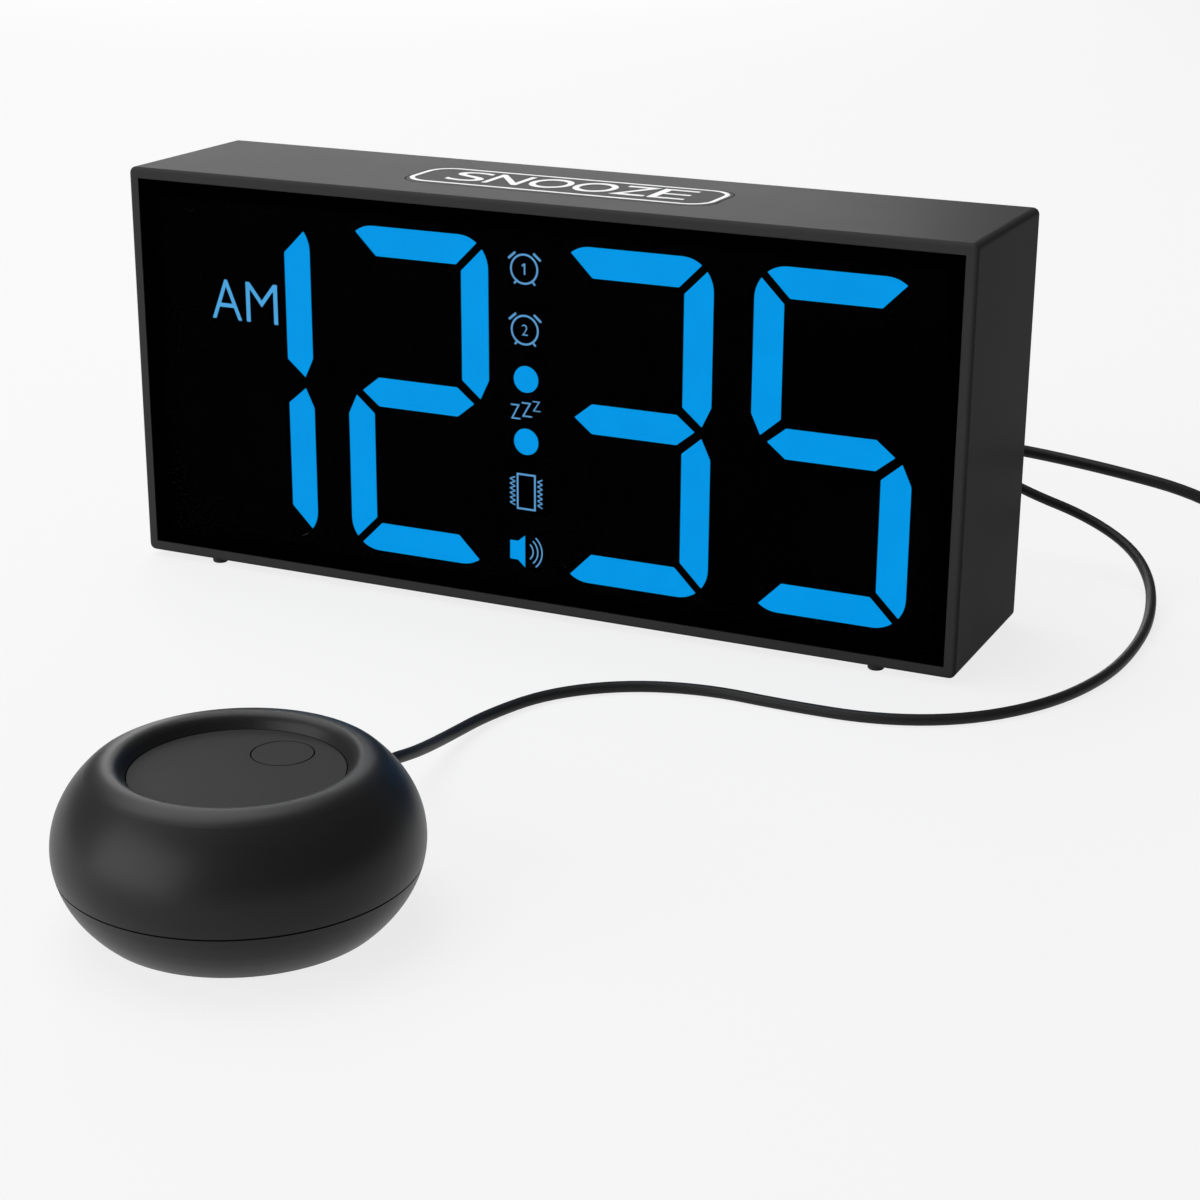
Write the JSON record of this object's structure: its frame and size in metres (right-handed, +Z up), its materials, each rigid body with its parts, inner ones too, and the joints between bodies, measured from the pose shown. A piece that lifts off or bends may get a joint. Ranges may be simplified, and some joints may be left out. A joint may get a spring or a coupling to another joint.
{
  "type": "bed shaker alarm clock",
  "caption": "Wide mains bedside clock with a blue segment display, a long flush snooze key, and a round corded bed shaker on a looped cable.",
  "frame": {"origin": "middle of the clock's footprint, on the table that the feet, the shaker and the cords lie on", "axes": "+X to the right seen from the front, +Y from the display to the back of the clock, +Z up"},
  "size_m": [0.3067, 0.2611, 0.0881],
  "materials": {
    "case": "fine satin",
    "lens": "gloss, smoked",
    "film": "matt",
    "light_box": "matt",
    "lit_bar": "diffusing, lit blue",
    "dark_bar": "diffusing, unlit",
    "circuit_board": "lacquered",
    "led": "clear",
    "key": "satin",
    "switch": "moulded",
    "speaker_basket": "plated",
    "paper": "paper",
    "cell": "bright",
    "steel": "plated",
    "weight": "turned",
    "soft_rubber": "matt",
    "shaker_shell": "soft satin",
    "cord": "satin",
    "plug_metal": "bright"
  },
  "bodies": {
    "clock": {"board_screws": "steel", "case_screws": "steel", "cell_contacts": "cell", "coin_cell": "cell", "colon_dots": "lit_bar", "cord_tie": "cord", "dark_bars": "dark_bar", "dimmer_pot": "switch", "display_board": "circuit_board", "display_film": "film", "display_leds": "led", "feet": "soft_rubber", "hour_tens_bars": "lit_bar", "hour_units_bars": "lit_bar", "housing": "case", "key_switches": "switch", "lens": "lens", "light_box": "light_box", "main_board": "circuit_board", "minute_tens_bars": "lit_bar", "minute_units_bars": "lit_bar", "motor_clamp": "steel", "power_cord": "cord", "power_cord_coil": "cord", "power_cord_tail": "cord", "power_plug_grip": "cord", "power_plug_pin": "plug_metal", "power_socket": "switch", "rear_cover": "case", "shaker_base_shell": "shaker_shell", "shaker_board": "circuit_board", "shaker_cord": "cord", "shaker_disc": "shaker_shell", "shaker_gland": "cord", "shaker_motor": "steel", "shaker_pad": "soft_rubber", "shaker_plug_grip": "cord", "shaker_plug_pin": "plug_metal", "shaker_screws": "steel", "shaker_socket": "switch", "shaker_top_shell": "shaker_shell", "slide_switches": "switch", "snooze_board": "circuit_board", "speaker_cone": "paper", "speaker_frame": "speaker_basket", "speaker_magnet": "speaker_basket", "usb_plug_grip": "cord", "usb_plug_shell": "plug_metal"},
    "snooze": {"snooze_key": "key"},
    "time": {"time_key": "key"},
    "alarm_1": {"alarm_1_key": "key"},
    "alarm_2": {"alarm_2_key": "key"},
    "up": {"up_key": "key"},
    "down": {"down_key": "key"},
    "mode": {"mode_slider": "key"},
    "volume": {"volume_slider": "key"},
    "dimmer": {"dimmer_wheel": "key"},
    "cell_door": {"battery_door": "case"},
    "shaker_button": {"shaker_key": "key"},
    "shaking_weight": {"eccentric_weight": "weight"}
  },
  "joints": [
    {"name": "snooze_press", "type": "slide", "parent": "clock", "child": "snooze", "axis": [0, 0, -1], "range_m": [0, 0.001], "stiffness_N_per_m": 300, "springref_m": -0.003},
    {"name": "time_press", "type": "slide", "parent": "clock", "child": "time", "axis": [0, -1, 0], "range_m": [0, 0.0006], "stiffness_N_per_m": 300, "springref_m": -0.003},
    {"name": "alarm_1_press", "type": "slide", "parent": "clock", "child": "alarm_1", "axis": [0, -1, 0], "range_m": [0, 0.0006], "stiffness_N_per_m": 300, "springref_m": -0.003},
    {"name": "alarm_2_press", "type": "slide", "parent": "clock", "child": "alarm_2", "axis": [0, -1, 0], "range_m": [0, 0.0006], "stiffness_N_per_m": 300, "springref_m": -0.003},
    {"name": "up_press", "type": "slide", "parent": "clock", "child": "up", "axis": [0, -1, 0], "range_m": [0, 0.0006], "stiffness_N_per_m": 300, "springref_m": -0.003},
    {"name": "down_press", "type": "slide", "parent": "clock", "child": "down", "axis": [0, -1, 0], "range_m": [0, 0.0006], "stiffness_N_per_m": 300, "springref_m": -0.003},
    {"name": "mode_slide", "type": "slide", "parent": "clock", "child": "mode", "axis": [1, 0, 0], "range_m": [-0.0025, 0.0025]},
    {"name": "volume_slide", "type": "slide", "parent": "clock", "child": "volume", "axis": [1, 0, 0], "range_m": [0, 0.003]},
    {"name": "dimmer_turn", "type": "hinge", "parent": "clock", "child": "dimmer", "pos_m": [0.044, 0.0146, 0.0447], "axis": [0, 0, 1], "range_deg": [-135, 135]},
    {"name": "cell_door_off", "type": "slide", "parent": "clock", "child": "cell_door", "axis": [0, 1, 0], "range_m": [0, 0.015]},
    {"name": "shaker_key_press", "type": "slide", "parent": "clock", "child": "shaker_button", "axis": [0, 0, -1], "range_m": [0, 0.0006], "stiffness_N_per_m": 300, "springref_m": -0.003},
    {"name": "weight_spin", "type": "hinge", "parent": "clock", "child": "shaking_weight", "pos_m": [0.02278, -0.1722, 0.0118], "axis": [0.9994, -0.0349, 0], "continuous": true}
  ]
}
